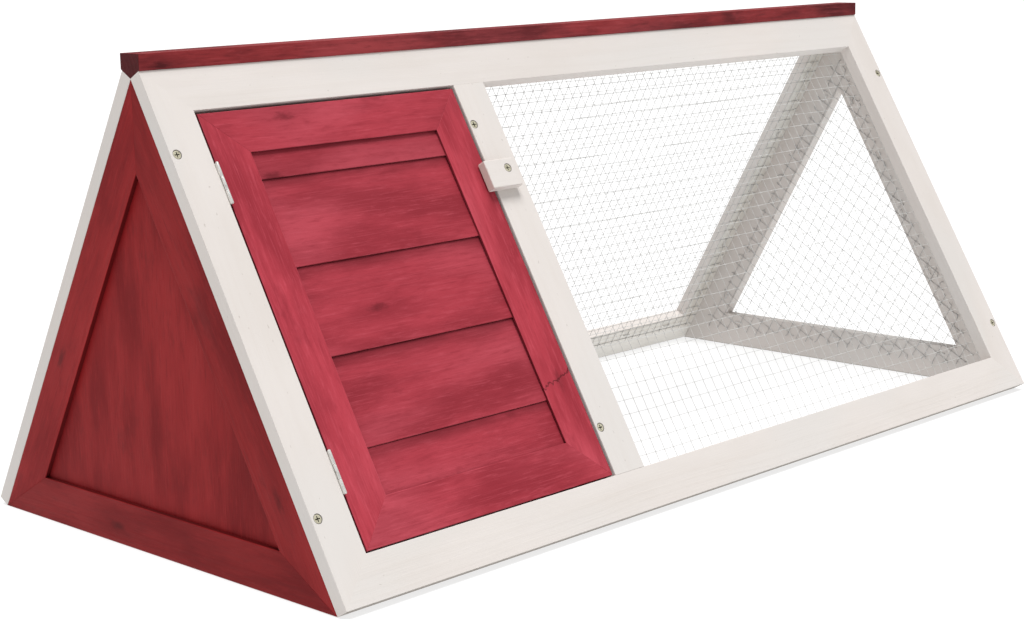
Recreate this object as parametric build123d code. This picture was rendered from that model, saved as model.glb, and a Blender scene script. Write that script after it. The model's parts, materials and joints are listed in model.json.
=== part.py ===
from build123d import *
import os
from math import cos, radians, sin, tan

# A-frame rabbit hutch. Two leaning frame panels meet under a ridge cap and are screwed to three
# triangular cross frames: a closed gable, a partition with a doorway and a netted gable. The bay
# between the closed gable and the partition is the house, entered by a hinged plank door that a
# turn button holds shut. The other bay is the run. Millimetres, +Z up, +X along the ridge from the
# house to the run, the door on the -Y side. The origin is on the ground under the middle.

# Overall shape
LENGTH = 980.0
SLOPE = 456.0
LEAN = 30.0
BOARD = 13.0
BOARD_WIDTH = 38.0

# Bays, measured along the length from the closed gable's outer face
MID_STILE_AT = 327.0
PARTITION_AT = 326.0

# Plywood infill, held in a groove in the middle of its boards
PLY = 4.0
PLY_RECESS = (BOARD - PLY) / 2
GROOVE = 6.0

# Doorway in the partition
ARCH_RADIUS = 70.0
ARCH_CENTRE_Z = 140.0

# Ridge cap
RIDGE_WIDTH = 25.0
RIDGE_TOP = 415.0

# Door
DOOR_SIDE_GAP = 2.4
DOOR_BOTTOM_GAP = 1.3
DOOR_TOP_GAP = 2.9
DOOR_BACK = 0.3
DOOR_FACE = 12.0
DOOR_BOARD_WIDTH = 38.0
DOOR_REBATE = 9.0
PLANK_PITCH = 78.5
PLANK_COUNT = 5
PLANK_SET_BACK = 2.5
PLANK_TAPER = 1.8
STOP_SIZE = 10.0
STOP_CLEARANCE = 0.3
STOP_ENDS = (45.0, 380.0)

# Hinges
HINGE_BOTTOMS = (87.0, 335.0)
HINGE_LENGTH = 35.4
HINGE_OFF = 14.45
KNUCKLE_RADIUS = 1.35
KNUCKLE_GAP = 0.3
PIN_RADIUS = 0.8
PIN_HEAD_RADIUS = 1.2
PIN_HEAD = 0.7
RUNNING_CLEARANCE = 0.05
LEAF = 0.7
LEAF_DEPTH = 10.3
LEAF_RELIEF_RADIUS = 1.65
LEAF_SCREW_OFF = 8.2
LEAF_SCREW_INSET = 8.0

# Turn button
BUTTON_LENGTH = 36.5
BUTTON_HEIGHT = 27.0
BUTTON_THICKNESS = 9.0
BUTTON_LEFT = 315.5
BUTTON_BOTTOM = 311.5
BUTTON_PIVOT = (341.5, 329.0)
BUTTON_CLEARANCE = 0.2
BUTTON_ROUND = 1.2

# Fasteners
SCREW_HEAD_RADIUS = 3.6
SCREW_RADIUS = 1.75
SCREW_SINK = 0.5
SCREW_MOUTH = 0.6
SCREW_TIP = 2.5
PANEL_SCREW_LENGTH = 36.0
RIDGE_SCREW_LENGTH = 50.0
BUTTON_SCREW_LENGTH = 21.0
BUTTON_SCREW_CLEARANCE = 0.08
LEAF_SCREW_HEAD_RADIUS = 2.0
LEAF_SCREW_RADIUS = 1.0
LEAF_SCREW_LENGTH = 9.0
CROSS_DEPTH = 1.6
CROSS_SLOT = 0.9
CROSS_REACH = 1.3
HOLE_CLEARANCE = 0.05
GABLE_SCREWS_UP = (74.0, 382.0)
PARTITION_SCREWS_UP = (82.0, 378.0)

# Netting: each sheet is a plain skin with the mass of the netting it stands for
NET = 0.1
NET_OVERLAP = 18.0
NET_END_INSET = 7.0
STAPLE_CROWN = 10.0
STAPLE_WIRE = 0.8
STAPLE_LEG = 6.0
STAPLE_STAND = 1.1
STAPLE_INSET = 9.0
STAPLE_PITCH = 75.0

HALF_BASE = SLOPE * sin(radians(LEAN))
APEX_Z = SLOPE * cos(radians(LEAN))
OUTWARD = (0, -cos(radians(LEAN)), sin(radians(LEAN)))
UPSLOPE = (0, sin(radians(LEAN)), cos(radians(LEAN)))

# Local x runs along the length, local y up the slope, and the normal outward from the inner face.
FRONT = Plane(origin=(-LENGTH / 2, -HALF_BASE, 0), x_dir=(1, 0, 0), z_dir=OUTWARD)

pieces = {}


def on_front(along, up, off=0.0):
    """A point of the front panel: along its length, up its slope and outward of its inner face."""
    return FRONT.from_local_coords(Vector(along, up, off))


def slab(plane, outline, start, depth):
    """A flat board: an outline in the plane, from start to start + depth along its normal."""
    face = plane.offset(start) * make_face(Polyline(*outline, close=True))
    return extrude(face, amount=depth, dir=plane.z_dir)


def mitred_frame(left, right, bottom, top, width):
    """The outlines of four boards round an opening, mitred at the corners."""
    outer = [(left, bottom), (right, bottom), (right, top), (left, top)]
    inner = [
        (left + width, bottom + width),
        (right - width, bottom + width),
        (right - width, top - width),
        (left + width, top - width),
    ]
    sides = ("bottom_rail", "right_stile", "top_rail", "left_stile")
    outlines = {}
    for i, side in enumerate(sides):
        j = (i + 1) % len(sides)
        outlines[side] = [outer[i], outer[j], inner[j], inner[i]]
    return outlines


def triangle(inset):
    """The cross section's triangle as (y, z) points, with every side moved in by inset."""
    low = inset
    half = HALF_BASE - inset * 3 * tan(radians(LEAN))
    high = APEX_Z - 2 * inset
    return [(-half, low), (half, low), (0, high)]


def rectangle(left, right, bottom, top):
    """A rectangle's corners in order."""
    return [(left, bottom), (right, bottom), (right, top), (left, top)]


def revolved(outline):
    """The solid that an outline of (radius, z) points sweeps round the z axis."""
    return revolve(Plane.XZ * make_face(Polyline(*outline, close=True)), axis=Axis.Z)


def screw(length, head_radius, radius):
    """A countersunk cross-headed screw with its head's face at z = 0, pointing down."""
    body = revolved(
        [
            (0, 0),
            (head_radius, 0),
            (radius, radius - head_radius),
            (radius, SCREW_TIP * radius - length),
            (0, -length),
        ]
    )
    reach = CROSS_REACH * head_radius
    depth = 2 * CROSS_DEPTH * radius / SCREW_RADIUS
    for angle in (0, 90):
        body -= Rot(0, 0, angle) * Box(reach, CROSS_SLOT, depth)
    return body


def screw_hole(length, head_radius, radius, clearance, sink=0.0):
    """The hole that such a screw sits in, with a wider mouth above a head that is sunk."""
    head = head_radius + clearance
    shank = radius + clearance
    outline = [(0, clearance), (head, clearance), (head, 0)]
    if sink:
        mouth = head + SCREW_MOUTH
        top = sink + clearance
        outline = [(0, top), (mouth, top), (mouth, 0), (head, 0)]
    outline.append((shank, radius - head_radius))
    outline.append((shank, SCREW_TIP * radius - length))
    outline.append((0, -length - clearance))
    return revolved(outline)


def place(shape, point, direction):
    """The shape with its origin at the point and its +Z along the direction."""
    return Plane(origin=point, z_dir=direction).location * shape


def drill(names, holes):
    """Cuts the holes out of the named pieces."""
    for name in names:
        pieces[name] = pieces[name] - holes


def solids_of(shapes):
    """Every solid of the shapes, as one group."""
    return Compound([solid for shape in shapes for solid in shape.solids()])


def add_front_panel():
    """The front panel's five boards."""
    for side, outline in mitred_frame(0, LENGTH, 0, SLOPE, BOARD_WIDTH).items():
        pieces[f"front_{side}"] = slab(FRONT, outline, 0, BOARD)
    middle = rectangle(
        MID_STILE_AT, MID_STILE_AT + BOARD_WIDTH, BOARD_WIDTH, SLOPE - BOARD_WIDTH
    )
    pieces["front_mid_stile"] = slab(FRONT, middle, 0, BOARD)


def add_back_panel():
    """The back panel: the front's boards mirrored, with plywood closing the house bay."""
    for side in ("bottom_rail", "right_stile", "top_rail", "left_stile", "mid_stile"):
        pieces[f"back_{side}"] = mirror(pieces[f"front_{side}"], about=Plane.XZ)
    outline = rectangle(
        BOARD_WIDTH - GROOVE,
        MID_STILE_AT + GROOVE,
        BOARD_WIDTH - GROOVE,
        SLOPE - BOARD_WIDTH + GROOVE,
    )
    infill = mirror(slab(FRONT, outline, PLY_RECESS, PLY), about=Plane.XZ)
    for side in ("bottom_rail", "top_rail", "left_stile", "mid_stile"):
        pieces[f"back_{side}"] -= infill
    pieces["back_house_panel"] = infill


def add_cross_frame(name, at, filled):
    """Three mitred boards of the triangular section, and the plywood in their groove if filled."""
    plane = Plane.YZ.offset(at - LENGTH / 2)
    outer = triangle(0)
    inner = triangle(BOARD_WIDTH)
    sides = ("bottom_board", "back_rafter", "front_rafter")
    infill = slab(plane, triangle(BOARD_WIDTH - GROOVE), PLY_RECESS, PLY)
    for i, side in enumerate(sides):
        j = (i + 1) % len(sides)
        outline = [outer[i], outer[j], inner[j], inner[i]]
        pieces[f"{name}_{side}"] = slab(plane, outline, 0, BOARD)
        if filled:
            pieces[f"{name}_{side}"] -= infill
    if filled:
        pieces[f"{name}_panel"] = infill


def cut_doorway():
    """The arched doorway between the house and the run."""
    plane = Plane.YZ.offset(PARTITION_AT - LENGTH / 2)
    square = slab(
        plane, rectangle(-ARCH_RADIUS, ARCH_RADIUS, BOARD_WIDTH, ARCH_CENTRE_Z), 0, BOARD
    )
    arch = plane * Pos(0, ARCH_CENTRE_Z, BOARD / 2) * Cylinder(ARCH_RADIUS, BOARD)
    pieces["partition_panel"] = pieces["partition_panel"] - square - arch


def add_ridge_cap():
    """The ridge cap: a bar with a V underside that sits on the panels' square top edges."""
    half = RIDGE_WIDTH / 2
    shoulder = APEX_Z + half * tan(radians(LEAN))
    outline = [
        (0, APEX_Z),
        (half, shoulder),
        (half, RIDGE_TOP),
        (-half, RIDGE_TOP),
        (-half, shoulder),
    ]
    pieces["ridge_cap"] = slab(Plane.YZ.offset(-LENGTH / 2), outline, 0, LENGTH)


def add_door():
    """The door: tapered planks let into the back of four mitred boards."""
    left = BOARD_WIDTH + DOOR_SIDE_GAP
    right = MID_STILE_AT - DOOR_SIDE_GAP
    bottom = BOARD_WIDTH + DOOR_BOTTOM_GAP
    top = SLOPE - BOARD_WIDTH - DOOR_TOP_GAP
    housed = DOOR_BOARD_WIDTH - DOOR_REBATE
    thick = DOOR_FACE - PLANK_SET_BACK
    bed = rectangle(left + housed, right - housed, bottom + housed, top - housed)
    rebate = slab(FRONT, bed, DOOR_BACK, thick - DOOR_BACK)
    for side, outline in mitred_frame(left, right, bottom, top, DOOR_BOARD_WIDTH).items():
        board = slab(FRONT, outline, DOOR_BACK, DOOR_FACE - DOOR_BACK)
        pieces[f"door_{side}"] = board - rebate
    section = Plane(origin=on_front(left + housed, 0), x_dir=UPSLOPE, z_dir=(1, 0, 0))
    for i in range(PLANK_COUNT):
        low = max(bottom + i * PLANK_PITCH, bottom + housed)
        high = min(bottom + (i + 1) * PLANK_PITCH, top - housed)
        thin = thick - PLANK_TAPER * (high - low) / PLANK_PITCH
        outline = [(low, DOOR_BACK), (high, DOOR_BACK), (high, thin), (low, thick)]
        pieces[f"door_plank_{i + 1}"] = slab(section, outline, 0, right - left - 2 * housed)


def add_door_stop():
    """The batten on the partition that the door closes against."""
    outline = rectangle(PARTITION_AT - STOP_SIZE, PARTITION_AT, *STOP_ENDS)
    pieces["door_stop"] = slab(
        FRONT, outline, DOOR_BACK - STOP_CLEARANCE - STOP_SIZE, STOP_SIZE
    )


def hinge_leaf(side, rings):
    """A leaf and its rings, for side -1 or 1 of the pin, with the pin's axis along local +Z."""
    near = side * (DOOR_SIDE_GAP / 2 - LEAF)
    far = side * DOOR_SIDE_GAP / 2
    third = HINGE_LENGTH / 3
    leaf = slab(Plane.XY, rectangle(-LEAF_DEPTH, 0, near, far), 0, HINGE_LENGTH)
    for i in range(3):
        start = i * third
        trimmed = KNUCKLE_GAP if i != 1 else 0
        low = start if i != 2 else start + trimmed
        high = start + third if i != 0 else start + third - trimmed
        if i in rings:
            middle = Pos(0, 0, (low + high) / 2)
            leaf += middle * Cylinder(KNUCKLE_RADIUS, high - low)
            continue
        low = start - KNUCKLE_GAP if i == 1 else start
        high = start + third + KNUCKLE_GAP if i == 1 else start + third
        leaf -= Pos(0, 0, (low + high) / 2) * Cylinder(LEAF_RELIEF_RADIUS, high - low)
    bore = Pos(0, 0, HINGE_LENGTH / 2) * Cylinder(PIN_RADIUS + RUNNING_CLEARANCE, HINGE_LENGTH)
    return leaf - bore


def hinge_pin():
    """A pin with a flat head at each end, just outside the rings."""
    shaft = Pos(0, 0, HINGE_LENGTH / 2) * Cylinder(PIN_RADIUS, HINGE_LENGTH)
    ends = (-PIN_HEAD / 2, HINGE_LENGTH + PIN_HEAD / 2)
    for z in ends:
        shaft += Pos(0, 0, z) * Cylinder(PIN_HEAD_RADIUS, PIN_HEAD)
    return shaft


def add_hinges():
    """Two butt hinges in the gap at the door's left side, with their screws."""
    axis_at = BOARD_WIDTH + DOOR_SIDE_GAP / 2
    shank = (LEAF_SCREW_LENGTH, LEAF_SCREW_HEAD_RADIUS, LEAF_SCREW_RADIUS)
    stile_leaves = []
    door_leaves = []
    for place_name, bottom in zip(("lower", "upper"), HINGE_BOTTOMS):
        where = Plane(origin=on_front(axis_at, bottom, HINGE_OFF), x_dir=OUTWARD, z_dir=UPSLOPE)
        stile_leaves.append(f"{place_name}_hinge_stile_leaf")
        door_leaves.append(f"{place_name}_hinge_door_leaf")
        pieces[stile_leaves[-1]] = where.location * hinge_leaf(-1, (0, 2))
        pieces[door_leaves[-1]] = where.location * hinge_leaf(1, (1,))
        pieces[f"{place_name}_hinge_pin"] = where.location * hinge_pin()
    for group, side, leaves, wood in (
        ("hinge_stile_screws", -1, stile_leaves, "front_left_stile"),
        ("hinge_door_screws", 1, door_leaves, "door_left_stile"),
    ):
        head_at = axis_at + side * (DOOR_SIDE_GAP / 2 - LEAF)
        points = []
        for bottom in HINGE_BOTTOMS:
            for inset in (LEAF_SCREW_INSET, HINGE_LENGTH - LEAF_SCREW_INSET):
                points.append(on_front(head_at, bottom + inset, LEAF_SCREW_OFF))
        facing = (-side, 0, 0)
        pieces[group] = solids_of([place(screw(*shank), p, facing) for p in points])
        holes = [place(screw_hole(*shank, HOLE_CLEARANCE), p, facing) for p in points]
        drill(leaves + [wood], holes)


def add_panel_screws():
    """Screws through both panels into the edges of the three cross frames, two to each edge."""
    shank = (PANEL_SCREW_LENGTH, SCREW_HEAD_RADIUS, SCREW_RADIUS)
    hole = screw_hole(*shank, HOLE_CLEARANCE, SCREW_SINK)
    front_screws = []
    for at, ups, frame, stile in (
        (BOARD / 2, GABLE_SCREWS_UP, "left_gable", "left_stile"),
        (PARTITION_AT + BOARD / 2, PARTITION_SCREWS_UP, "partition", "mid_stile"),
        (LENGTH - BOARD / 2, GABLE_SCREWS_UP, "right_gable", "right_stile"),
    ):
        points = [on_front(at, up, BOARD - SCREW_SINK) for up in ups]
        front_screws += [place(screw(*shank), p, OUTWARD) for p in points]
        holes = [place(hole, p, OUTWARD) for p in points]
        drill([f"front_{stile}", f"{frame}_front_rafter"], holes)
        back_holes = [mirror(drilled, about=Plane.XZ) for drilled in holes]
        drill([f"back_{stile}", f"{frame}_back_rafter"], back_holes)
        if frame == "partition":
            drill(["back_house_panel"], back_holes)
    pieces["front_panel_screws"] = solids_of(front_screws)
    pieces["back_panel_screws"] = solids_of([mirror(s, about=Plane.XZ) for s in front_screws])


def add_ridge_screws():
    """Screws down through the ridge cap into the tips of the three cross frames."""
    shank = (RIDGE_SCREW_LENGTH, SCREW_HEAD_RADIUS, SCREW_RADIUS)
    ats = (BOARD / 2, PARTITION_AT + BOARD / 2, LENGTH - BOARD / 2)
    points = [(at - LENGTH / 2, 0, RIDGE_TOP - SCREW_SINK) for at in ats]
    pieces["ridge_screws"] = solids_of([place(screw(*shank), p, (0, 0, 1)) for p in points])
    holes = [
        place(screw_hole(*shank, HOLE_CLEARANCE, SCREW_SINK), p, (0, 0, 1)) for p in points
    ]
    drill(["ridge_cap", "front_top_rail", "back_top_rail"], holes)
    for frame, hole in zip(("left_gable", "partition", "right_gable"), holes):
        drill([f"{frame}_front_rafter", f"{frame}_back_rafter"], [hole])


def add_turn_button():
    """The wooden button that turns on its screw to hold the door shut."""
    outline = rectangle(
        BUTTON_LEFT,
        BUTTON_LEFT + BUTTON_LENGTH,
        BUTTON_BOTTOM,
        BUTTON_BOTTOM + BUTTON_HEIGHT,
    )
    start = BOARD + BUTTON_CLEARANCE
    block = slab(FRONT, outline, start, BUTTON_THICKNESS)
    block = fillet(block.edges(), BUTTON_ROUND)
    head = on_front(*BUTTON_PIVOT, start + BUTTON_THICKNESS - SCREW_SINK)
    shank = (BUTTON_SCREW_LENGTH, SCREW_HEAD_RADIUS, SCREW_RADIUS)
    loose_hole = screw_hole(*shank, BUTTON_SCREW_CLEARANCE, SCREW_SINK)
    pieces["turn_button"] = block - place(loose_hole, head, OUTWARD)
    pieces["turn_button_screw"] = place(screw(*shank), head, OUTWARD)
    drill(["front_mid_stile"], [place(screw_hole(*shank, HOLE_CLEARANCE), head, OUTWARD)])


def staple():
    """A wire staple over z = 0 with its legs pointing down, its crown along local x above it."""
    top = STAPLE_STAND + STAPLE_WIRE
    depth = STAPLE_LEG + top
    shape = Pos(0, 0, top - STAPLE_WIRE / 2) * Box(STAPLE_CROWN, STAPLE_WIRE, STAPLE_WIRE)
    for side in (-1, 1):
        leg_at = side * (STAPLE_CROWN - STAPLE_WIRE) / 2
        shape += Pos(leg_at, 0, top - depth / 2) * Box(STAPLE_WIRE, STAPLE_WIRE, depth)
    return shape


def staples_between(start, end, facing):
    """Staples at an even pitch along a line, with their crowns along it, on a face."""
    run = end - start
    count = max(2, round(run.length / STAPLE_PITCH))
    row = []
    for i in range(count):
        point = start + run * ((i + 0.5) / count)
        where = Plane(origin=point, x_dir=run.normalized(), z_dir=facing)
        row.append(where.location * staple())
    return row


def add_panel_netting():
    """Netting over the run bay, inside both panels, stapled to the boards round it."""
    left = MID_STILE_AT + BOARD_WIDTH - NET_OVERLAP
    right = LENGTH - BOARD - NET_END_INSET
    bottom = BOARD_WIDTH - NET_OVERLAP
    top = SLOPE - BOARD_WIDTH + NET_OVERLAP
    net = slab(FRONT, rectangle(left, right, bottom, top), -NET, NET)
    low = bottom + STAPLE_INSET
    high = top - STAPLE_INSET
    near = left + STAPLE_INSET
    far = right - STAPLE_INSET
    corners = [(near, low), (far, low), (far, high), (near, high)]
    inward = -Vector(*OUTWARD)
    row = []
    for i, corner in enumerate(corners):
        following = corners[(i + 1) % len(corners)]
        row += staples_between(on_front(*corner, -NET), on_front(*following, -NET), inward)
    pieces["front_netting"] = net
    pieces["front_netting_staples"] = solids_of(row)
    pieces["back_netting"] = mirror(net, about=Plane.XZ)
    pieces["back_netting_staples"] = solids_of([mirror(s, about=Plane.XZ) for s in row])


def add_gable_netting():
    """Netting inside the open gable, stapled to its three boards."""
    inner_face = LENGTH / 2 - BOARD
    plane = Plane.YZ.offset(inner_face - NET)
    pieces["right_gable_netting"] = slab(plane, triangle(BOARD_WIDTH - NET_OVERLAP), 0, NET)
    corners = triangle(BOARD_WIDTH - NET_OVERLAP + STAPLE_INSET)
    row = []
    for i, (y, z) in enumerate(corners):
        next_y, next_z = corners[(i + 1) % len(corners)]
        start = Vector(inner_face - NET, y, z)
        row += staples_between(start, Vector(inner_face - NET, next_y, next_z), (-1, 0, 0))
    pieces["right_gable_netting_staples"] = solids_of(row)


add_front_panel()
add_back_panel()
add_cross_frame("left_gable", 0, True)
add_cross_frame("partition", PARTITION_AT, True)
add_cross_frame("right_gable", LENGTH - BOARD, False)
cut_doorway()
add_ridge_cap()
add_door()
add_door_stop()
add_hinges()
add_panel_screws()
add_ridge_screws()
add_turn_button()
add_panel_netting()
add_gable_netting()

os.makedirs("parts", exist_ok=True)
for name, shape in pieces.items():
    export_step(shape, f"parts/{name}.step")
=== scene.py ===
import json
import math
import random

import bmesh
import bpy
import numpy as np
from mathutils import Matrix, Vector


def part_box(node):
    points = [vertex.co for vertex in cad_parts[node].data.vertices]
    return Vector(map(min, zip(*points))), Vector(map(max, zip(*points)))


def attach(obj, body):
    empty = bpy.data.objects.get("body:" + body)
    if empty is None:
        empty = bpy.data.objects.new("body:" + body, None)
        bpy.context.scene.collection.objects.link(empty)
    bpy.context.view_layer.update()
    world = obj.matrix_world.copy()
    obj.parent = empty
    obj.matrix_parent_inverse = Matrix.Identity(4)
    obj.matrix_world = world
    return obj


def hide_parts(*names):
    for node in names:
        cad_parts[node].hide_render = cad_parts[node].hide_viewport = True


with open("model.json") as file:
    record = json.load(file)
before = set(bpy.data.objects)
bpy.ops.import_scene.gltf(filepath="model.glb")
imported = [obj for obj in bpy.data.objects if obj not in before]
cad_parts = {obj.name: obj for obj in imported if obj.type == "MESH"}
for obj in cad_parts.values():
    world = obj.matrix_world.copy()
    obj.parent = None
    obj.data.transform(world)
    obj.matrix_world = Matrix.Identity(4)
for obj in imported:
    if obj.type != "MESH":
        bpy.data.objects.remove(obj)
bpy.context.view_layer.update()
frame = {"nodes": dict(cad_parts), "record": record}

# An A-frame rabbit hutch: white painted frames, a red stained house end with a plank door, and a
# run closed with square welded netting. Metres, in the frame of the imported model.

LEAN = math.radians(30)
SIN, COS = math.sin(LEAN), math.cos(LEAN)
UP_FRONT = Vector((0, SIN, COS))
UP_BACK = Vector((0, -SIN, COS))
OUT_FRONT = Vector((0, -COS, SIN))
OUT_BACK = Vector((0, COS, SIN))
X, Y, Z = Vector((1, 0, 0)), Vector((0, 1, 0)), Vector((0, 0, 1))


# ---------------------------------------------------------------- camera, floor and light

# Metres and radians, and millimetres for the lens and the sensor.
CAMERA_FROM = Vector((-1.4195, -1.3285, 0.509))
CAMERA_YAW = 0.796
CAMERA_PITCH = 0.190
CAMERA_ROLL = 0.020
CAMERA_LENS = 70.3
SENSOR = 36.0
FAR = 1000.0
FLOOR_RADIUS = 400.0
FLOOR_SIDES = 64
FLOOR_DROP = 0.0005
FLOOR_WHITE = 0.30
FLOOR_GLOW = 0.74
SKY = 0.45
SUN = 3.10
SUN_FROM = Vector((-0.06, -0.14, 0.985))
SUN_SPREAD = math.radians(30)


def add_camera():
    """The camera, turned by yaw towards +X from +Y, down by pitch, and rolled."""
    ahead = Vector(
        (
            math.sin(CAMERA_YAW) * math.cos(CAMERA_PITCH),
            math.cos(CAMERA_YAW) * math.cos(CAMERA_PITCH),
            -math.sin(CAMERA_PITCH),
        )
    )
    right = Vector((math.cos(CAMERA_YAW), -math.sin(CAMERA_YAW), 0))
    down = ahead.cross(right)
    rolled_right = right * math.cos(CAMERA_ROLL) + down * math.sin(CAMERA_ROLL)
    rolled_down = down * math.cos(CAMERA_ROLL) - right * math.sin(CAMERA_ROLL)
    data = bpy.data.cameras.new("camera")
    data.lens = CAMERA_LENS
    data.sensor_width = SENSOR
    data.clip_end = FAR
    camera = bpy.data.objects.new("camera", data)
    turn = Matrix((rolled_right, -rolled_down, -ahead)).transposed().to_4x4()
    camera.matrix_world = Matrix.Translation(CAMERA_FROM) @ turn
    bpy.context.scene.collection.objects.link(camera)
    bpy.context.scene.camera = camera


def add_studio():
    """A white floor that glows a little, an even surround and one soft light from nearly overhead."""
    mesh = bpy.data.meshes.new("floor")
    bm = bmesh.new()
    bmesh.ops.create_circle(bm, cap_ends=True, segments=FLOOR_SIDES, radius=FLOOR_RADIUS)
    bm.to_mesh(mesh)
    bm.free()
    floor = bpy.data.objects.new("floor", mesh)
    floor.location.z = -FLOOR_DROP
    bpy.context.scene.collection.objects.link(floor)
    material = bpy.data.materials.new("floor")
    material.use_nodes = True
    shader = material.node_tree.nodes["Principled BSDF"]
    shader.inputs["Base Color"].default_value = (FLOOR_WHITE, FLOOR_WHITE, FLOOR_WHITE, 1)
    shader.inputs["Roughness"].default_value = 1.0
    shader.inputs["Specular IOR Level"].default_value = 0.0
    shader.inputs["Emission Color"].default_value = (1, 1, 1, 1)
    shader.inputs["Emission Strength"].default_value = FLOOR_GLOW
    mesh.materials.append(material)
    world = bpy.data.worlds.new("surround")
    world.use_nodes = True
    world.node_tree.nodes["Background"].inputs["Color"].default_value = (1, 1, 1, 1)
    world.node_tree.nodes["Background"].inputs["Strength"].default_value = SKY
    bpy.context.scene.world = world
    data = bpy.data.lights.new("overhead", "SUN")
    data.energy = SUN
    data.angle = SUN_SPREAD
    light = bpy.data.objects.new("overhead", data)
    light.rotation_mode = "QUATERNION"
    light.rotation_quaternion = (-SUN_FROM).to_track_quat("-Z", "Y")
    bpy.context.scene.collection.objects.link(light)


# ---------------------------------------------------------------- shader building


class Shader:
    """A material under construction, with short calls for the nodes it is made of."""

    def __init__(self, name):
        self.material = bpy.data.materials.new(name)
        self.material.use_nodes = True
        self.tree = self.material.node_tree
        self.principled = self.tree.nodes["Principled BSDF"]

    def feed(self, socket, value):
        """Links a socket to another node's output, or sets its own value."""
        if isinstance(value, bpy.types.NodeSocket):
            self.tree.links.new(value, socket)
        elif hasattr(value, "__len__") and len(value) == 3 and socket.type == "RGBA":
            socket.default_value = (*value, 1)
        else:
            socket.default_value = value

    def node(self, kind, inputs=(), **properties):
        """A node with its properties set and its inputs fed, by name or number."""
        made = self.tree.nodes.new("ShaderNode" + kind)
        for key, value in properties.items():
            setattr(made, key, value)
        for key, value in dict(inputs).items():
            self.feed(made.inputs[key], value)
        return made

    def number(self, name):
        """A number that the mesh stores under this name."""
        return self.node("Attribute", attribute_name=name).outputs["Fac"]

    def vector(self, name):
        """A vector that the mesh stores under this name."""
        return self.node("Attribute", attribute_name=name).outputs["Vector"]

    def math(self, operation, a, b=0.0, clamp=False):
        return self.node("Math", {0: a, 1: b}, operation=operation, use_clamp=clamp).outputs[0]

    def scaled(self, vector, scale):
        return self.node("VectorMath", {0: vector, 1: scale}, operation="MULTIPLY").outputs[0]

    def noise(self, vector, detail, roughness=0.5, scale=1.0):
        inputs = {"Vector": vector, "Scale": scale, "Detail": detail, "Roughness": roughness}
        return self.node("TexNoise", inputs).outputs["Fac"]

    def swing(self, noise, reach):
        """The noise moved from around a half to around zero, and stretched to the reach."""
        return self.math("MULTIPLY", self.math("SUBTRACT", noise, 0.5), reach)

    def step(self, value, low, high, to_low=0.0, to_high=1.0):
        """The value mapped from low..high to to_low..to_high, smoothly and clamped."""
        inputs = {0: value, 1: low, 2: high, 3: to_low, 4: to_high}
        return self.node("MapRange", inputs, interpolation_type="SMOOTHSTEP").outputs[0]

    def mix(self, factor, a, b, blend="MIX"):
        made = self.node("Mix", data_type="RGBA", blend_type=blend)
        self.feed(made.inputs["Factor"], factor)
        self.feed(made.inputs[6], a)
        self.feed(made.inputs[7], b)
        return made.outputs[2]

    def cover(self, colour, other, mask, share):
        """The colour with a share of the other one laid over it where the mask is 1."""
        return self.mix(self.math("MULTIPLY", mask, share), colour, other)

    def bump(self, height, distance, strength):
        inputs = {"Height": height, "Distance": distance, "Strength": strength}
        return self.node("Bump", inputs).outputs["Normal"]

    def finish(self, **sockets):
        """Feeds the principled shader's sockets, named with _ for a space."""
        for key, value in sockets.items():
            self.feed(self.principled.inputs[key.replace("_", " ")], value)
        return self.material


# How fine each kind of mark is along a board's grain, across it and through it, in cells a metre.
WOBBLE = (110, 240, 240)
FIBRES = (26, 800, 800)
BLOTCHES = (8, 30, 30)
SWAY = (3, 15, 15)
CLOUDS = (5, 11, 11)
MOTTLE = (48, 330, 330)
SMUDGES = (13, 24, 24)
SHADE_UNDER_PLANK_MARKS = (22, 60, 60)
STAIN_CHIPS = (50, 200, 200)
TINTS = (4, 9, 9)
THIN_PATCHES = (5, 18, 18)
PAINT_CHIPS = (60, 260, 260)
SPECKS = (150, 330, 330)
PLY_PORES = (700, 700, 160)
SAW_MARKS = (260, 260, 2500)

# A knot's radius across the grain, its shape, and how far its ragged edge and its halo reach.
KNOT = 0.0048
KNOT_SHAPE = (0.38, 1, 0)
KNOT_RAGGED = 1.8 * KNOT
KNOT_EDGE = 1.2 * KNOT
HALO_EDGE = 4.5 * KNOT
# The rings lie round a pith below the board, drift a little, and give way to the knot.
RING_PITCH = 0.0042
PITH_DEPTH = 0.022
RING_DRIFT = 0.030
KNOT_PUSH = 0.007
LATE_WOOD = 0.95
# The split beside a knot: half its width at the top and at the floor, its slant and its wandering.
SPLIT_TOP = 0.0011
SPLIT_FLOOR = 0.0003
SPLIT_SLANT = 0.3
SPLIT_WANDER = 0.012
# How far fibres and rings stand up in the relief, and how deep a split goes.
FIBRE_RELIEF = 0.6
RING_RELIEF = 0.20
SPLIT_RELIEF = -1.5
# Painted shade under the plank above: it reaches this far down a plank, and is darkest this close to
# it.
SHADE_UNDER_PLANK_REACH = 0.014
SHADE_UNDER_PLANK_DARKEST = 0.0004
# Painted shade down in the screw holes: its colour and how much of it is laid on.
SHADOWED = (0.035, 0.028, 0.022)
PIT_SHADE = 0.85
COOLER = (0.965, 0.99, 1.0)
# Where three-ply changes from core to veneer, from the middle of its thickness.
PLY_CORE = 0.0009
PLY_VENEER = 0.00105
TARNISHED = (0.16, 0.14, 0.12)
SPANGLES_A_PATCH = 6


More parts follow.
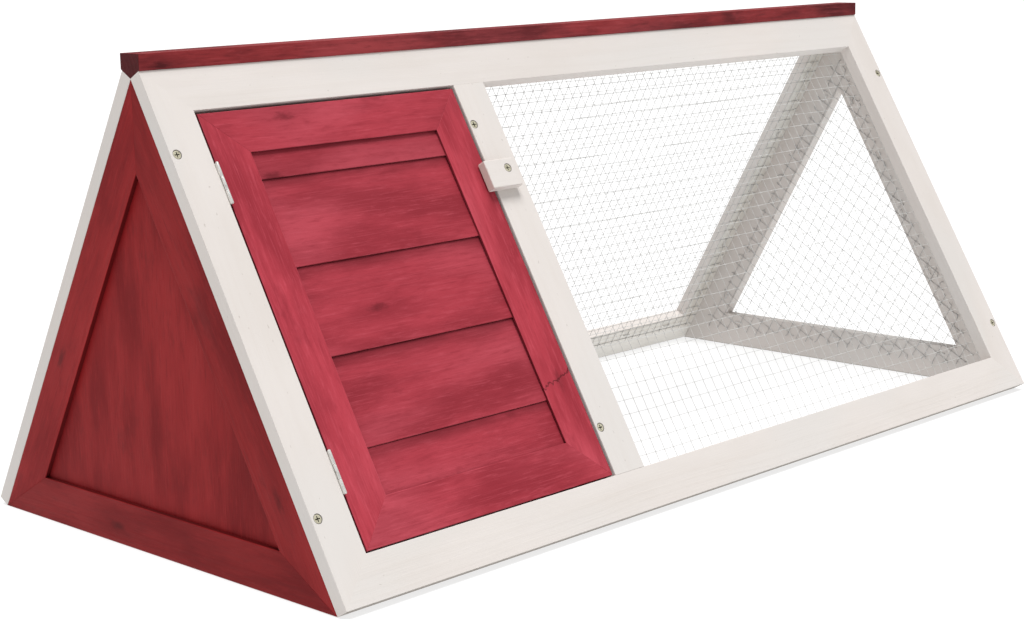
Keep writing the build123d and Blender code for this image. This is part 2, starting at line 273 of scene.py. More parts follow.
class Figure:
    """The figure of softwood in a board's own coordinates, and the marks stored with the board."""

    def __init__(self, s):
        self.s = s
        self.grain = s.vector("grain")
        self.edge = s.number("edge")
        self.end = s.number("end")
        self.flank = s.number("flank")
        self.pit = s.number("pit")
        self.tone = s.number("tone")
        self.fibres = self.marks(FIBRES, 4, 0.6)
        self.blotches = self.marks(BLOTCHES, 5, 0.56)
        wobble = self.marks(WOBBLE, 4, 0.6)
        from_knot = s.vector("knot")
        oval = s.node("VectorMath", {0: s.scaled(from_knot, KNOT_SHAPE)}, operation="LENGTH")
        reach = s.math("ADD", oval.outputs["Value"], s.swing(wobble, KNOT_RAGGED))
        self.core = s.step(reach, KNOT_EDGE, 0)
        self.halo = s.step(reach, HALO_EDGE, KNOT)
        sides = s.node("SeparateXYZ", {0: from_knot}).outputs
        self.split = self.crack(sides, wobble)
        self.rings = self.ring_lines(sides[1], reach)
        fibres = s.math("MULTIPLY", self.fibres, FIBRE_RELIEF)
        grown = s.math("ADD", fibres, s.math("MULTIPLY", self.rings, RING_RELIEF))
        self.height = s.math("ADD", grown, s.math("MULTIPLY", self.split, SPLIT_RELIEF))

    def marks(self, fineness, detail, roughness=0.5):
        """Noise that is drawn out along the grain."""
        return self.s.noise(self.s.scaled(self.grain, fineness), detail, roughness)

    def crack(self, sides, wobble):
        """The split through a knot and across the board, on the board that has one."""
        s = self.s
        wandering = s.math("ADD", sides[0], s.swing(wobble, SPLIT_WANDER))
        off = s.math("ABSOLUTE", s.math("ADD", wandering, s.math("MULTIPLY", sides[1], SPLIT_SLANT)))
        return s.math("MULTIPLY", s.step(off, SPLIT_TOP, SPLIT_FLOOR), s.number("split"))

    def ring_lines(self, beside_knot, reach):
        """The dark late wood of the rings, bent round the knot; a veneer shows none."""
        s = self.s
        parts = s.node("SeparateXYZ", {0: self.grain}).outputs
        pushed = s.math("DIVIDE", beside_knot, s.math("ADD", reach, KNOT))
        pushed = s.math("MULTIPLY", pushed, s.math("MULTIPLY", self.halo, -KNOT_PUSH))
        drift = s.swing(self.marks(SWAY, 2), RING_DRIFT)
        across = s.math("ADD", s.math("ADD", parts[1], drift), pushed)
        depth = s.math("ADD", parts[2], PITH_DEPTH)
        radius = s.math("SQRT", s.math("ADD", s.math("POWER", across, 2), s.math("POWER", depth, 2)))
        wave = s.math("SINE", s.math("MULTIPLY", radius, 2 * math.pi / RING_PITCH))
        sawn = s.math("SUBTRACT", 1.0, s.number("veneer"))
        return s.math("MULTIPLY", s.step(wave, 0.0, LATE_WOOD), sawn)


def shaded(colour, share):
    """The colour with every channel multiplied by the share."""
    return tuple(channel * share for channel in colour)


def toned(wood, colour, darkest, lightest):
    """The colour in the board's own tone, with near-black painted shade down in its screw holes."""
    s = wood.s
    tone = s.step(wood.tone, 0, 1, darkest, lightest)
    grey = s.node("CombineColor", {0: tone, 1: tone, 2: tone}).outputs[0]
    return s.cover(s.mix(1.0, colour, grey, "MULTIPLY"), SHADOWED, wood.pit, PIT_SHADE)


def stained(name, deep, middle, light, streaks=0.3, contrast=1.0):
    """Red stained softwood: the stain takes unevenly and darkens round knots, with painted shade under
    planks and on side faces, and a painted highlight on worn edges.
    """
    s = Shader(name)
    wood = Figure(s)
    # The stain's own unevenness: wide clouds, pale fibres and fine mottle.
    colour = s.mix(s.step(wood.blotches, 0.34, 0.64), s.mix(contrast, middle, deep), middle)
    colour = s.mix(s.step(wood.marks(CLOUDS, 2), 0.44, 0.66, 0, 0.42), colour, light)
    colour = s.cover(colour, light, s.step(wood.fibres, 0.50, 0.74), streaks)
    mottle = wood.marks(MOTTLE, 4, 0.7)
    colour = s.mix(s.step(mottle, 0.50, 0.70, 0, 0.45), colour, deep)
    colour = s.mix(s.step(mottle, 0.47, 0.30, 0, 0.28), colour, light)
    # What it darkens: rings, smudges, the knot with its halo, and the split.
    colour = s.cover(colour, deep, wood.rings, 0.11 * contrast)
    smudges = s.step(wood.marks(SMUDGES, 4, 0.7), 0.56, 0.74, 0, 0.6 * contrast)
    colour = s.mix(smudges, colour, shaded(deep, 0.8))
    colour = s.cover(colour, deep, wood.halo, 0.25)
    colour = s.cover(colour, shaded(deep, 0.55), wood.core, 0.75)
    colour = s.cover(colour, shaded(deep, 0.4), wood.split, 0.85)
    # Painted shade under the plank above, dark cut ends, painted shade on the side faces, and edges
    # worn pale with a painted highlight.
    uneven = s.step(wood.marks(SHADE_UNDER_PLANK_MARKS, 3), 0.25, 0.65, 0.45, 1.0)
    shade_under_plank = s.math("MULTIPLY", s.step(s.number("under"), SHADE_UNDER_PLANK_REACH, SHADE_UNDER_PLANK_DARKEST), uneven)
    colour = s.cover(colour, shaded(deep, 0.55), shade_under_plank, 0.75)
    colour = s.cover(colour, shaded(deep, 0.5), wood.end, 0.8)
    # Painted shade on the side faces of stained boards.
    colour = s.cover(colour, shaded(deep, 0.35), wood.flank, 0.75)
    # The pale edges are partly worn stain and partly a painted highlight.
    worn = s.math("MULTIPLY", wood.edge, s.step(wood.marks(STAIN_CHIPS, 3), 0.42, 0.66))
    colour = s.cover(colour, light, worn, 0.5)
    return s.finish(
        Base_Color=toned(wood, colour, 0.82, 1.12),
        Roughness=s.step(wood.blotches, 0.2, 0.8, 0.66, 0.48),
        Normal=s.bump(wood.height, 0.0006, 0.5),
        Specular_IOR_Level=0.12,
    )


def painted(name, white, shade, timber, cover=0.97):
    """White paint on softwood: even where it is thick, with the wood coming through where thin."""
    s = Shader(name)
    wood = Figure(s)
    bare = 1 - cover
    cool = tuple(channel * share for channel, share in zip(white, COOLER))
    # The coat's own tints, then the timber that shows through where the coat is thin.
    colour = s.mix(s.step(wood.blotches, 0.30, 0.72), white, shade)
    colour = s.mix(s.step(wood.marks(TINTS, 2), 0.46, 0.62, 0, 0.7), colour, cool)
    thin = s.math("MULTIPLY", s.step(wood.fibres, 0.50, 0.78), bare)
    thin = s.math("ADD", thin, s.math("MULTIPLY", wood.rings, bare * 0.9))
    patches = s.step(wood.marks(THIN_PATCHES, 3), 0.30, 0.62, 0.35, 1.6)
    colour = s.mix(s.math("MULTIPLY", thin, patches, clamp=True), colour, timber)
    # Knots bleed through any coat, and cut ends and worn edges hold little paint. Undersides get
    # painted shade over bare timber.
    bleed = 0.10 + bare * 0.7
    colour = s.cover(colour, timber, wood.halo, bleed * 0.5)
    colour = s.cover(colour, timber, wood.core, bleed * 1.5)
    colour = s.cover(colour, shaded(timber, 1.2), wood.end, 0.35)
    # Painted shade on the undersides near the floor.
    colour = s.cover(colour, shaded(timber, 0.35), s.number("foot"), 0.8)
    worn = s.math("MULTIPLY", wood.edge, s.step(wood.marks(PAINT_CHIPS, 4), 0.54, 0.68))
    colour = s.cover(colour, timber, worn, 0.35)
    specks = s.step(wood.marks(SPECKS, 2), 0.735, 0.78, 0, 0.35)
    colour = s.mix(specks, colour, shaded(timber, 0.5))
    return s.finish(
        Base_Color=toned(wood, colour, 0.99, 1.01),
        Roughness=s.step(wood.blotches, 0.2, 0.8, 0.62, 0.46),
        Normal=s.bump(wood.height, 0.0004, 0.45),
        Specular_IOR_Level=0.35,
    )


def ply_edge(name, veneer, core):
    """The cut edge of three-ply: two veneers and a darker core, with pores and saw marks."""
    s = Shader(name)
    place = s.vector("layer")
    through = s.math("ABSOLUTE", s.node("SeparateXYZ", {0: place}).outputs[2])
    pores = s.noise(s.scaled(place, PLY_PORES), 3)
    saw = s.noise(s.scaled(place, SAW_MARKS), 2)
    colour = s.mix(s.step(through, PLY_VENEER, PLY_CORE), veneer, core)
    colour = s.mix(s.step(pores, 0.50, 0.75, 0, 0.5), colour, shaded(core, 0.5))
    return s.finish(
        Base_Color=colour,
        Roughness=s.step(pores, 0.3, 0.7, 0.8, 0.6),
        Normal=s.bump(s.math("ADD", pores, saw), 0.0004, 0.6),
        Specular_IOR_Level=0.25,
    )


def metal(name, bright, dull, roughness, spangle, metallic, tarnish=0.3):
    """Zinc on steel: a crystalline spangle with duller patches."""
    s = Shader(name)
    place = s.node("TexCoord").outputs["Object"]
    crystals = s.node("TexVoronoi", {"Vector": place, "Scale": spangle}).outputs["Color"]
    patch = s.noise(place, 4, 0.6, scale=spangle / SPANGLES_A_PATCH)
    shade = s.math("ADD", s.math("MULTIPLY", crystals, 0.35), s.math("MULTIPLY", patch, 0.65))
    colour = s.mix(s.step(shade, 0.35, 0.75), bright, dull)
    colour = s.mix(s.step(patch, 0.60, 0.72, 0, tarnish), colour, TARNISHED)
    return s.finish(
        Base_Color=colour,
        Metallic=metallic,
        Roughness=s.step(shade, 0.2, 0.8, roughness * 0.8, roughness * 1.25),
        Normal=s.bump(patch, 0.00008, 0.4),
    )


MATERIALS = {
    "white": painted(
        "white_paint", (0.688, 0.642, 0.610), (0.662, 0.614, 0.578), (0.50, 0.42, 0.34)
    ),
    # The insides of white boards: thin paint showing the timber, lighter than the outside white as
    # painted light.
    "white_inside": painted(
        "white_paint_thin_painted_light", (0.775, 0.755, 0.715), (0.715, 0.69, 0.64), (0.53, 0.46, 0.38), cover=0.80
    ),
    "door": stained(
        "red_stain_door", (0.255, 0.0225, 0.034), (0.385, 0.041, 0.059), (0.52, 0.085, 0.115)
    ),
    "gable": stained(
        "red_stain_gable",
        (0.165, 0.008, 0.010),
        (0.262, 0.0115, 0.013),
        (0.34, 0.021, 0.023),
        streaks=0.25,
        contrast=0.9,
    ),
    "ridge": stained(
        "red_stain_ridge", (0.09, 0.009, 0.012), (0.27, 0.027, 0.030), (0.42, 0.070, 0.078), streaks=0.4
    ),
    "inside_red": stained(
        "red_stain_inside", (0.15, 0.015, 0.018), (0.25, 0.023, 0.026), (0.40, 0.09, 0.08), streaks=0.6
    ),
    "ply_edge": ply_edge("ply_edge", (0.36, 0.12, 0.09), (0.30, 0.17, 0.10)),
    "wire": metal(
        "galvanised_wire",
        (0.70, 0.70, 0.68),
        (0.52, 0.52, 0.51),
        roughness=0.45,
        spangle=420,
        metallic=0.3,
    ),
    # The back and gable netting, seen from their shaded side: a darker copy of the wire as painted
    # shade.
    "shaded_wire": metal(
        "galvanised_wire_painted_shade",
        (0.46, 0.46, 0.45),
        (0.30, 0.30, 0.30),
        roughness=0.5,
        spangle=420,
        metallic=0.3,
    ),
    "zinc": metal(
        "zinc_plate",
        (0.88, 0.87, 0.84),
        (0.68, 0.67, 0.64),
        roughness=0.30,
        spangle=900,
        metallic=0.6,
    ),
    "screw": metal(
        "screw_zinc",
        (0.80, 0.76, 0.58),
        (0.55, 0.50, 0.36),
        roughness=0.34,
        spangle=1500,
        metallic=0.6,
        tarnish=0.5,
    ),
    # The insides of the screw crosses: near-black painted shade, not a zinc colour.
    "recess": metal(
        "screw_cross_painted_shade",
        (0.075, 0.062, 0.034),
        (0.035, 0.028, 0.016),
        roughness=0.5,
        spangle=1500,
        metallic=0.3,
    ),
}


# ---------------------------------------------------------------- timber and metal

BODY_OF = {n: body for body, members in frame["record"]["behaviour"]["bodies"].items() for n in members}
SLOT_OF = {part["node"]: part["material_slot"] for part in frame["record"]["subparts"]}
# The outer and inner finish of each timber slot, and the finish of each metal one.
FINISHES = {
    "white_paint": ("white", "white_inside"),
    "red_stain_door": ("door", "inside_red"),
    "red_stain_gable": ("gable", "inside_red"),
    "red_stain_ridge": ("ridge", "ridge"),
}
METALS = {"screw_zinc": "screw", "zinc_plated_steel": "zinc", "galvanised_wire": "wire"}

# What counts as one point and as one flat face when a CAD mesh is cleaned.
SAME_POINT = 2e-6
FLAT_WITHIN = math.radians(1)
# The rounding of a board's edges, and of a small metal part's.
ARRIS = 0.0007
ARRIS_SEGMENTS = 4
SOFTENED = 0.00014
SOFTENED_SEGMENTS = 3
# Edges this long and this sharp, in radians, are eased. Stained boards are also a little open at
# their joints, by this share of an arris.
LONG_EDGE = 0.010
SHARP_EDGE = 0.4
OPEN_JOINT = 0.4
# The smallest face whose plane counts as a board's own side, and how exactly a face keeps it.
OWN_SIDE = 2e-5
SAME_PLANE = 0.9999
# How much of a direction counts as along it, inwards, edge on, and square to it.
ALONG = 0.9
INWARDS = -0.8
EDGE_ON = 0.5
SQUARE_ON = 0.3
# The angles above which shading shows an edge, in degrees, and a metal edge is softened.
TIMBER_EDGE = 40
METAL_EDGE = 50
SOFTENED_ABOVE = math.radians(40)

# Where a knot lies on a board: shares of the way along its grain and across it.
KNOT_PLACES = {
    "door_right_stile": (0.25, 0.46),
    "door_plank_3": (0.34, 0.42),
    "door_plank_5": (0.10, 0.05),
    "door_top_rail": (0.30, 0.75),
    "ridge_cap": (0.022, 0.45),
    "left_gable_bottom_board": (0.62, 0.60),
    "left_gable_back_rafter": (0.40, 0.62),
}
# A knot this many boards away is never seen, and this share of the other boards gets one by chance.
NO_KNOT = 9.0
KNOT_LUCK = 0.25
KNOT_WITHIN = (0.1, 0.9)
# How far up the tree, to the side of its heart and further out from it a board may have been sawn.
TREE = 9
OFF_HEART = 0.02
FURTHER_OUT = 0.01
SPLIT_BOARD = "door_right_stile"
# The painted shade underneath, over bare timber: how high it reaches, and how much a face there looks
# down.
FOOT_HEIGHT = 0.010
FOOT_FACING = -0.1
# Screw holes, which get painted shade: in a board this thick, at least this deep, with small walls well
# in from its edges.
BOARD = 0.013
PIT_DEPTH = 0.0003
PIT_WALL = 3e-6
PIT_MARGIN = 0.003
# How light a board came out of the stain, from 0 to 1, where it isn't left to chance.
TONES = {
    "left_gable_bottom_board": 0.25,
    "left_gable_front_rafter": 0.45,
    "left_gable_back_rafter": 1.00,
    "left_gable_panel": 0.65,
    "door_top_rail": 0.53,
    "door_plank_5": 0.30,
    "door_plank_4": 0.50,
    "door_plank_3": 0.50,
    "door_plank_2": 0.45,
    "door_plank_1": 0.57,
    "door_bottom_rail": 0.65,
    "door_left_stile": 1.00,
    "door_right_stile": 0.95,
    "ridge_cap": 0.60,
}

# The direction in which each group of screws faces, and how deep the cross in a head goes, which gets
# painted shade.
SCREWS_FACE = {
    "front_panel_screws": OUT_FRONT,
    "back_panel_screws": OUT_BACK,
    "ridge_screws": Z,
    "turn_button_screw": OUT_FRONT,
}
CROSS_TOP = 0.0002
CROSS_FLOOR = 0.0017


def grain_axes(node):
    """The directions along a board's grain, across it and out of its face."""
    back = node.startswith("back_")
    along = UP_BACK if back or "back_rafter" in node else UP_FRONT
    outward = OUT_BACK if back else OUT_FRONT
    if node.startswith(("left_gable", "right_gable", "partition")):
        outward = -X
        if "bottom_board" in node:
            along = Y
        elif "panel" in node:
            along = Z
    elif any(word in node for word in ("rail", "plank", "ridge", "button")):
        along = X
    if node == "ridge_cap":
        outward = -Y
    return along, outward.cross(along), outward


def cleaned(node):
    """The node's CAD mesh for editing, with its points joined and its flat faces whole."""
    bm = bmesh.new()
    bm.from_mesh(frame["nodes"][node].data)
    bmesh.ops.remove_doubles(bm, verts=bm.verts, dist=SAME_POINT)
    bmesh.ops.dissolve_limit(bm, angle_limit=FLAT_WITHIN, verts=bm.verts, edges=bm.edges)
    return bm


def bevelled(bm, name, sharp, **settings):
    """A smooth mesh made from the edited one, with its edges bevelled by the settings."""
    mesh = bpy.data.meshes.new(name)
    bm.to_mesh(mesh)
    bm.free()
    rough = bpy.data.objects.new(name, mesh)
    bpy.context.scene.collection.objects.link(rough)
    bevel = rough.modifiers.new("bevel", "BEVEL")
    for key, value in settings.items():
        setattr(bevel, key, value)
    graph = bpy.context.evaluated_depsgraph_get()
    made = bpy.data.meshes.new_from_object(rough.evaluated_get(graph))
    bpy.data.objects.remove(rough)
    made.shade_smooth()
    made.set_sharp_from_angle(angle=math.radians(sharp))
    return made


def dressed_mesh(node):
    """The node's mesh with its long edges eased, and its grain and worn edges as attributes."""
    axes = grain_axes(node)
    bm = cleaned(node)
    bm.normal_update()
    planes = [face.normal.copy() for face in bm.faces if face.calc_area() > OWN_SIDE]
    weight = bm.edges.layers.float.new("bevel_weight_edge")
    joint_weight = 0.0 if SLOT_OF[node] == "white_paint" else OPEN_JOINT
    for edge in bm.edges:
        long_enough = edge.calc_length() > LONG_EDGE
        if long_enough and len(edge.link_faces) == 2 and edge.calc_face_angle(0) > SHARP_EDGE:
            direction = (edge.verts[1].co - edge.verts[0].co).normalized()
            edge[weight] = 1.0 if abs(direction.dot(axes[0])) > ALONG else joint_weight
    eased = bevelled(
        bm,
        node + "_timber",
        TIMBER_EDGE,
        limit_method="WEIGHT",
        width=ARRIS,
        segments=ARRIS_SEGMENTS,
        use_clamp_overlap=True,
        miter_outer="MITER_ARC",
    )
    write_grain(eased, node, axes, planes)
    return eased


def store(mesh, name, domain, values):
    """Stores one number or one vector for every point or face."""
    if values.ndim == 2:
        made = mesh.attributes.new(name, "FLOAT_VECTOR", domain)
        made.data.foreach_set("vector", values.astype(np.float32).ravel())
    else:
        made = mesh.attributes.new(name, "FLOAT", domain)
        made.data.foreach_set("value", values.astype(np.float32))


def write_grain(mesh, node, axes, planes):
    """Stores each point's place in the tree, on the board and by its knot, and the board's finish."""
    luck = random.Random(node)
    up_the_tree = luck.uniform(0, TREE)
    off_heart = luck.uniform(-OFF_HEART, OFF_HEART)
    shift = np.array((up_the_tree, off_heart, luck.uniform(0, FURTHER_OUT)))
    tone = TONES.get(node, luck.random())
    lucky_knot = (luck.uniform(*KNOT_WITHIN), luck.uniform(*KNOT_WITHIN))
    has_knot = luck.random() < KNOT_LUCK and not node.startswith(("front", "turn", "door"))
    place = KNOT_PLACES.get(node, lucky_knot if has_knot else (NO_KNOT, NO_KNOT))
    turned = np.array(Matrix(axes))
    points = np.array([vertex.co for vertex in mesh.vertices]) @ turned.T
    low, high = points.min(0), points.max(0)
    middle = points - (low + high) / 2
    every_point = np.ones(len(points))
    # How far each point lies below the plank above, for the painted shade there.
    under = high[1] - points[:, 1] if "plank" in node else every_point
    eased = every_point.copy()
    for polygon in mesh.polygons:
        if any(polygon.normal.dot(plane) > SAME_PLANE for plane in planes):
            for corner in polygon.vertices:
                eased[corner] = 0
    store(mesh, "grain", "POINT", middle + shift)
    store(mesh, "layer", "POINT", middle)
    store(mesh, "knot", "POINT", points - (low + (high - low) * np.array([*place, 0.5])))
    store(mesh, "edge", "POINT", eased)
    store(mesh, "under", "POINT", under)
    store(mesh, "tone", "POINT", tone * every_point)
    store(mesh, "split", "POINT", (node == SPLIT_BOARD) * every_point)
    store(mesh, "veneer", "POINT", node.endswith("_panel") * every_point)
    write_faces(mesh, node, axes, turned, low, high)


def write_faces(mesh, node, axes, turned, low, high):
    """Marks a board's cut ends, and for painted shade its side faces, its underside and the insides of
    its screw holes.
    """
    along, _, outward = axes
    white = SLOT_OF[node] == "white_paint"
    marks = {name: np.zeros(len(mesh.polygons)) for name in ("end", "flank", "foot", "pit")}
    for polygon in mesh.polygons:
        i = polygon.index
        facing = polygon.normal.dot(outward)
        middle = turned @ np.array(polygon.center)
        depth = high[2] - middle[2]
        in_from_edges = min(*(middle - low)[:2], *(high - middle)[:2])
        floor_of_pit = facing > ALONG and PIT_DEPTH < depth < BOARD / 2
        wall_of_pit = polygon.area < PIT_WALL and depth > ARRIS and in_from_edges > PIT_MARGIN
        marks["end"][i] = abs(polygon.normal.dot(along)) > ALONG
        # Side faces get painted shade, except on the ridge cap.
        marks["flank"][i] = abs(facing) < SQUARE_ON and node != "ridge_cap"
        # Undersides near the floor get painted shade.
        marks["foot"][i] = polygon.normal.z < FOOT_FACING and polygon.center.z < FOOT_HEIGHT
        # Screw holes in white boards get painted shade.
        marks["pit"][i] = white and (floor_of_pit or wall_of_pit)
    for name, values in marks.items():
        store(mesh, name, "FACE", values)


def add_piece(name, mesh, materials, body, replaced):
    """A finished piece: its object, materials, body and the CAD nodes it stands for."""
    piece = bpy.data.objects.new(name, mesh)
    bpy.context.scene.collection.objects.link(piece)
    mesh.materials.clear()
    for material in materials:
        mesh.materials.append(MATERIALS[material])
    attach(piece, body)
    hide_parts(*replaced)
    return piece


def add_timber():
    """Every wooden node as an eased board, painted outside and thinner or rougher inside."""
    for node in sorted(frame["nodes"]):
        slot = SLOT_OF[node]
        if slot not in FINISHES:
            continue
        mesh = dressed_mesh(node)
        finishes = (*FINISHES[slot], "ply_edge")
        piece = add_piece(node + "_wood", mesh, finishes, BODY_OF[node], [node])
        outward = grain_axes(node)[2]
        for polygon in mesh.polygons:
            facing = polygon.normal.dot(outward)
            if node.endswith("_panel") and abs(facing) < EDGE_ON:
                polygon.material_index = finishes.index("ply_edge")
            else:
                polygon.material_index = int(facing < INWARDS)
        keep_flats = piece.modifiers.new("flats", "WEIGHTED_NORMAL")
        keep_flats.keep_sharp = True
        keep_flats.weight = 100


def darken_crosses(mesh, outward):
    """Gives the second material, a near-black painted shade, to the faces inside the crosses of a group
    of screws.
    """
    top = max(vertex.co.dot(outward) for vertex in mesh.vertices)
    for polygon in mesh.polygons:
        facing = polygon.normal.dot(outward)
        depth = top - polygon.center.dot(outward)
        floor_of_cross = facing > ALONG and depth > CROSS_TOP
        wall_of_cross = abs(facing) < SQUARE_ON and depth < CROSS_FLOOR
        polygon.material_index = int(floor_of_cross or wall_of_cross)


def add_metal():
    """Screws, staples and hinges as the CAD model gives them, with their edges softened."""
    for node in sorted(frame["nodes"]):
        slot = SLOT_OF[node]
        if slot not in METALS or node.endswith("netting"):
            continue
        mesh = bevelled(
            cleaned(node),
            node + "_rough",
            METAL_EDGE,
            limit_method="ANGLE",
            angle_limit=SOFTENED_ABOVE,
            width=SOFTENED,
            segments=SOFTENED_SEGMENTS,
        )
        finishes = [METALS[slot]]
        # Screws get a second material: painted shade inside their crosses.
        if node in SCREWS_FACE:
            finishes.append("recess")
        add_piece(node + "_metal", mesh, finishes, BODY_OF[node], [node])
        if node in SCREWS_FACE:
            darken_crosses(mesh, SCREWS_FACE[node])


# ---------------------------------------------------------------- wire netting

# The spacing of the wires, a wire's radius, and how far apart two lie at a weld, in diameters.
PITCH_ALONG = 0.0126
PITCH_ACROSS = 0.0131
WIRE = 0.00022
WELDED = 0.9
TUBE_SIDES = 6
# How much thicker a wire is at a weld, and how far from it, as a share of the spacing.
WELD_SWELL = 1.3
WELD_REACH = 0.12
# A sheet's distance from the boards, its overlap on them, and its first wire from the selvage.
LIFT = 0.00040
OVERLAP = 0.020
FIRST_WIRE = 0.0030
# The shortest wire that is kept, in points, and the shortest last bit, as a share of a step.
SHORTEST_RUN = 4
SHORTEST_BIT = 0.05
# A bent cut end: its places along the bend, its length, its turn aside, its rise and its swell.
CURL_STEPS = (0.35, 0.7, 1.0)
CURL_LENGTH = (0.0015, 0.0040)
CURL_ASIDE = 1.2
CURL_RISE = 0.6
CURL_SWELL = 1.8
# How ragged a sheet is cut, and how quickly that changes along, across and back and forth.
RAGGED = 0.0022
RAGGED_ALONG = 61
RAGGED_ACROSS = 47
RAGGED_TURNS = 3
# The waviness of a sheet: bends in its plane, a bulge off the boards, and waves in radians a metre.
BEND = 0.0005
BULGE = 0.0010
BULGE_RUN_IN = 0.05
SLOWEST_WAVE = 13.2
WAVE_STEP = 19.8
WAVES = 4


class Net:
    """One sheet of square welded netting: its outline and how it sits in the world."""

    def __init__(self, name, origin, run, across, inward, outline, seed, selvage, finish):
        self.name, self.origin = name, Vector(origin)
        self.run, self.across, self.inward = run, across, inward
        self.outline = np.array(outline)
        self.selvage = selvage
        self.finish = finish
        self.luck = np.random.default_rng(seed)
        self.waves = self.luck.uniform(-1, 1, (WAVES, 4))

    def depth_in(self, points):
        """How far inside the convex outline, listed anticlockwise, each point is."""
        nearest = np.full(len(points), np.inf)
        for i, start in enumerate(self.outline):
            side = self.outline[(i + 1) % len(self.outline)] - start
            side = side / np.hypot(*side)
            reach = points - start
            nearest = np.minimum(nearest, side[0] * reach[:, 1] - side[1] * reach[:, 0])
        return nearest

    def settle(self, points):
        """The netting's slight waviness: bent wires, and a bulge away from the boards."""
        u, w = points[:, 0], points[:, 1]
        along = np.zeros(len(points))
        across = np.zeros(len(points))
        out = np.zeros(len(points))
        for i, (a, b, c, d) in enumerate(self.waves):
            # The factors beside a, b, c, d and the phase only keep the three directions out of step.
            phase = (SLOWEST_WAVE + WAVE_STEP * i) * (a * u + b * w) + 3 * c
            along += BEND / (i + 1) * np.sin(phase + 5 * d)
            across += BEND / (i + 1) * np.sin(phase * 1.3 + 2 * b)
            out += BULGE / (i + 1) * np.sin(phase * 0.8 + 4 * a)
        free = np.clip((self.depth_in(points[:, :2]) - OVERLAP) / BULGE_RUN_IN, 0, 1)
        points[:, 0] += along
        points[:, 1] += across
        points[:, 2] += out * free
        return points

    def world(self, points):
        """The sheet's own points (along, across, off the boards) in the world."""
        basis = np.array([self.run, self.across, self.inward])
        return points @ basis + np.array(self.origin)


def tube(centres, radii):
    """Rings of points round a wire's centre line, which never runs along the third axis."""
    ahead = np.gradient(centres, axis=0)
    ahead /= np.linalg.norm(ahead, axis=1)[:, None]
    sideways = np.cross(np.array([0, 0, 1.0]), ahead)
    sideways /= np.linalg.norm(sideways, axis=1)[:, None]
    above = np.cross(ahead, sideways)
    rings = []
    for i in range(TUBE_SIDES):
        angle = 2 * math.pi * (i + 0.5) / TUBE_SIDES
        ring = math.cos(angle) * sideways + math.sin(angle) * above
        rings.append(centres + radii[:, None] * ring)
    return np.stack(rings, 1)


def curl(centres, luck):
    """The wire's cut end, bent aside and a little up off the boards."""
    tail = centres[-1] - centres[-2]
    tail = tail / np.linalg.norm(tail)
    side = np.array([-tail[1], tail[0], 0]) * luck.uniform(-CURL_ASIDE, CURL_ASIDE)
    length = luck.uniform(*CURL_LENGTH)
    bends = []
    for share in CURL_STEPS:
        rise = np.array([0, 0, CURL_RISE]) * share * share
        bends.append(centres[-1] + (tail * share + side * share * share + rise) * length)
    return np.concatenate([centres, np.array(bends)])


class Wires:
    """Tubes gathered into one mesh."""

    def __init__(self, net):
        self.net = net
        self.verts, self.faces, self.count = [], [], 0

    def add(self, centres, radii):
        """A tube along the centre line, closed at both ends."""
        rings = tube(centres, radii)
        n = len(rings)
        self.verts.append(self.net.world(rings.reshape(-1, 3)))
        start = np.arange(n - 1)[:, None] * TUBE_SIDES + self.count
        step = np.arange(TUBE_SIDES)[None, :]
        following = (step + 1) % TUBE_SIDES
        above = TUBE_SIDES
        quads = np.stack(
            [start + step, start + following, start + following + above, start + step + above], 2
        )
        self.faces += quads.reshape(-1, 4).tolist()
        ends = np.arange(TUBE_SIDES) + self.count
        self.faces += [ends[::-1].tolist(), (ends + (n - 1) * TUBE_SIDES).tolist()]
        self.count += n * TUBE_SIDES

    def mesh(self):
        made = bpy.data.meshes.new(self.net.name + "_wires")
        made.from_pydata(np.concatenate(self.verts).tolist(), [], self.faces)
        made.shade_smooth()
        return made


def add_kept_runs(wires, path, radii):
    """The stretches of one wire that lie inside the sheet, with their cut ends bent."""
    net = wires.net
    spare = net.depth_in(path[:, :2])
    if not net.selvage:
        turns = RAGGED_TURNS * np.sin(path[:, 1] * RAGGED_ACROSS)
        spare = spare - RAGGED * (1 + np.sin(path[:, 0] * RAGGED_ALONG + turns))
    kept = spare > 0
    marks = np.flatnonzero(np.diff(np.concatenate([[0], kept.astype(int), [0]])))
    low, high = net.outline.min(0), net.outline.max(0)
    for begin, end in zip(marks[::2], marks[1::2]):
        if end - begin < SHORTEST_RUN:
            continue
        centres, thick = path[begin:end], radii[begin:end]
        for inner, outer in ((end - 1, end), (begin, begin - 1)):
            share = spare[inner] / (spare[inner] - spare[outer])
            cut = path[inner] + (path[outer] - path[inner]) * share
            if share > SHORTEST_BIT:
                centres = np.concatenate([centres, cut[None]])
                thick = np.append(thick, WIRE)
            along_selvage = net.selvage and min(cut[1] - low[1], high[1] - cut[1]) < FIRST_WIRE
            if not along_selvage:
                centres = curl(centres, net.luck)
                thick = np.append(thick, np.full(len(CURL_STEPS), WIRE * CURL_SWELL))
            centres, thick = centres[::-1], thick[::-1]
        wires.add(centres, thick)


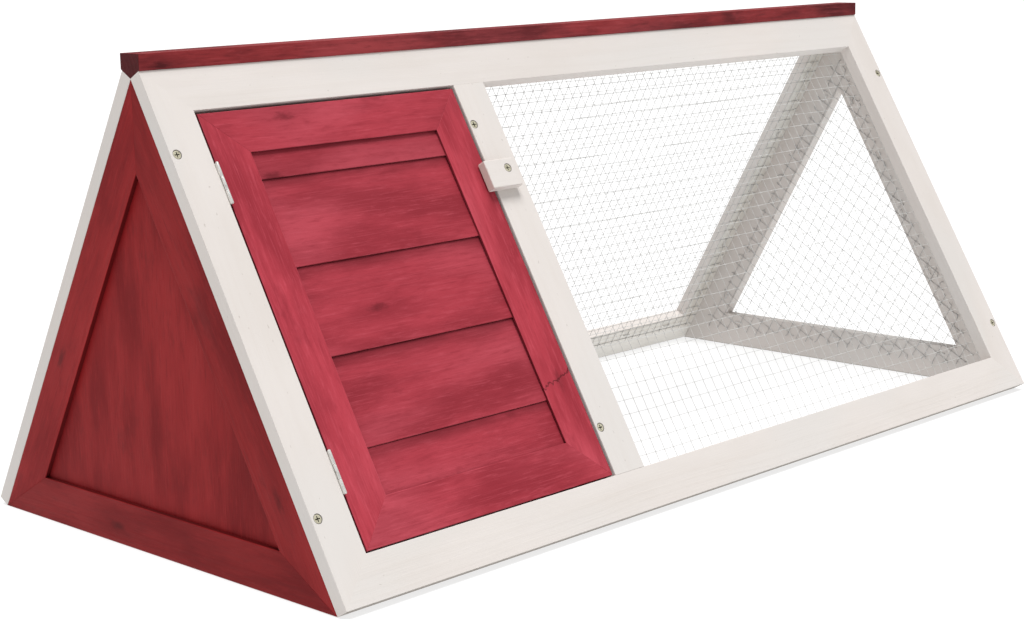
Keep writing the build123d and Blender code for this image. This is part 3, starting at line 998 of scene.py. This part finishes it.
def weave(net):
    """The sheet's wires as one mesh: the cross wires lie on the line wires, welded to them."""
    low, high = net.outline.min(0), net.outline.max(0)
    pitches = (PITCH_ALONG, PITCH_ACROSS)
    wires = Wires(net)
    for axis in (0, 1):
        other = 1 - axis
        # A weld more at either side, so that every wire runs past the outline before it is cut.
        count = int((high[axis] - low[axis]) / pitches[axis]) + 3
        welds = low[axis] + FIRST_WIRE + (np.arange(count) - 1) * pitches[axis]
        # Points just before, at and after each weld, and halfway to the next one.
        beside = np.array([-WELD_REACH, 0, WELD_REACH, 0.5]) * pitches[axis]
        places = (welds[:, None] + beside).ravel()
        radii = np.tile([1, WELD_SWELL, 1, 1], count) * WIRE
        for level in np.arange(low[other] + FIRST_WIRE, high[other], pitches[other]):
            path = np.zeros((len(places), 3))
            path[:, axis] = places
            path[:, other] = level
            path[:, 2] = axis * 2 * WIRE * WELDED
            add_kept_runs(wires, net.settle(path), radii)
    return wires.mesh()


def slope_net(node, back, seed):
    """The netting of a leaning panel, with its line wires along the hutch."""
    low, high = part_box(node)
    up = UP_BACK if back else UP_FRONT
    inward = -(OUT_BACK if back else OUT_FRONT)
    length = high.x - low.x
    height = math.hypot(high.y - low.y, high.z - low.z)
    origin = Vector((low.x, high.y if back else low.y, low.z)) + inward * LIFT
    outline = [(0, 0), (length, 0), (length, height), (0, height)]
    # The back sheet is seen from its shaded side, so it takes the darker wire as painted shade.
    finish = "shaded_wire" if back else "wire"
    return Net(node, origin, X, up, inward, outline, seed, True, finish)


def gable_net(node, seed):
    """The netting of the open gable, cut with its cross wires along the back rafter."""
    low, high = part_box(node)
    half = (high.y - low.y) / 2
    origin = Vector((low.x - LIFT, 0, low.z))
    outline = []
    for y, z in ((-half, 0), (half, 0), (0, high.z - low.z)):
        outline.append((y * COS + z * SIN, z * COS - y * SIN))
    run = Y * COS + Z * SIN
    # Seen from its shaded side: the darker wire as painted shade.
    return Net(node, origin, run, UP_BACK, -X, outline, seed, False, "shaded_wire")


def add_netting():
    """Three sheets of netting, one mesh each."""
    for net in (
        slope_net("front_netting", back=False, seed=11),
        slope_net("back_netting", back=True, seed=23),
        gable_net("right_gable_netting", seed=37),
    ):
        name = net.name + "_wires"
        add_piece(name, weave(net), (net.finish,), "frame", [net.name])


add_camera()
add_studio()
add_timber()
add_metal()
add_netting()

bpy.context.scene.view_settings.view_transform = "Standard"
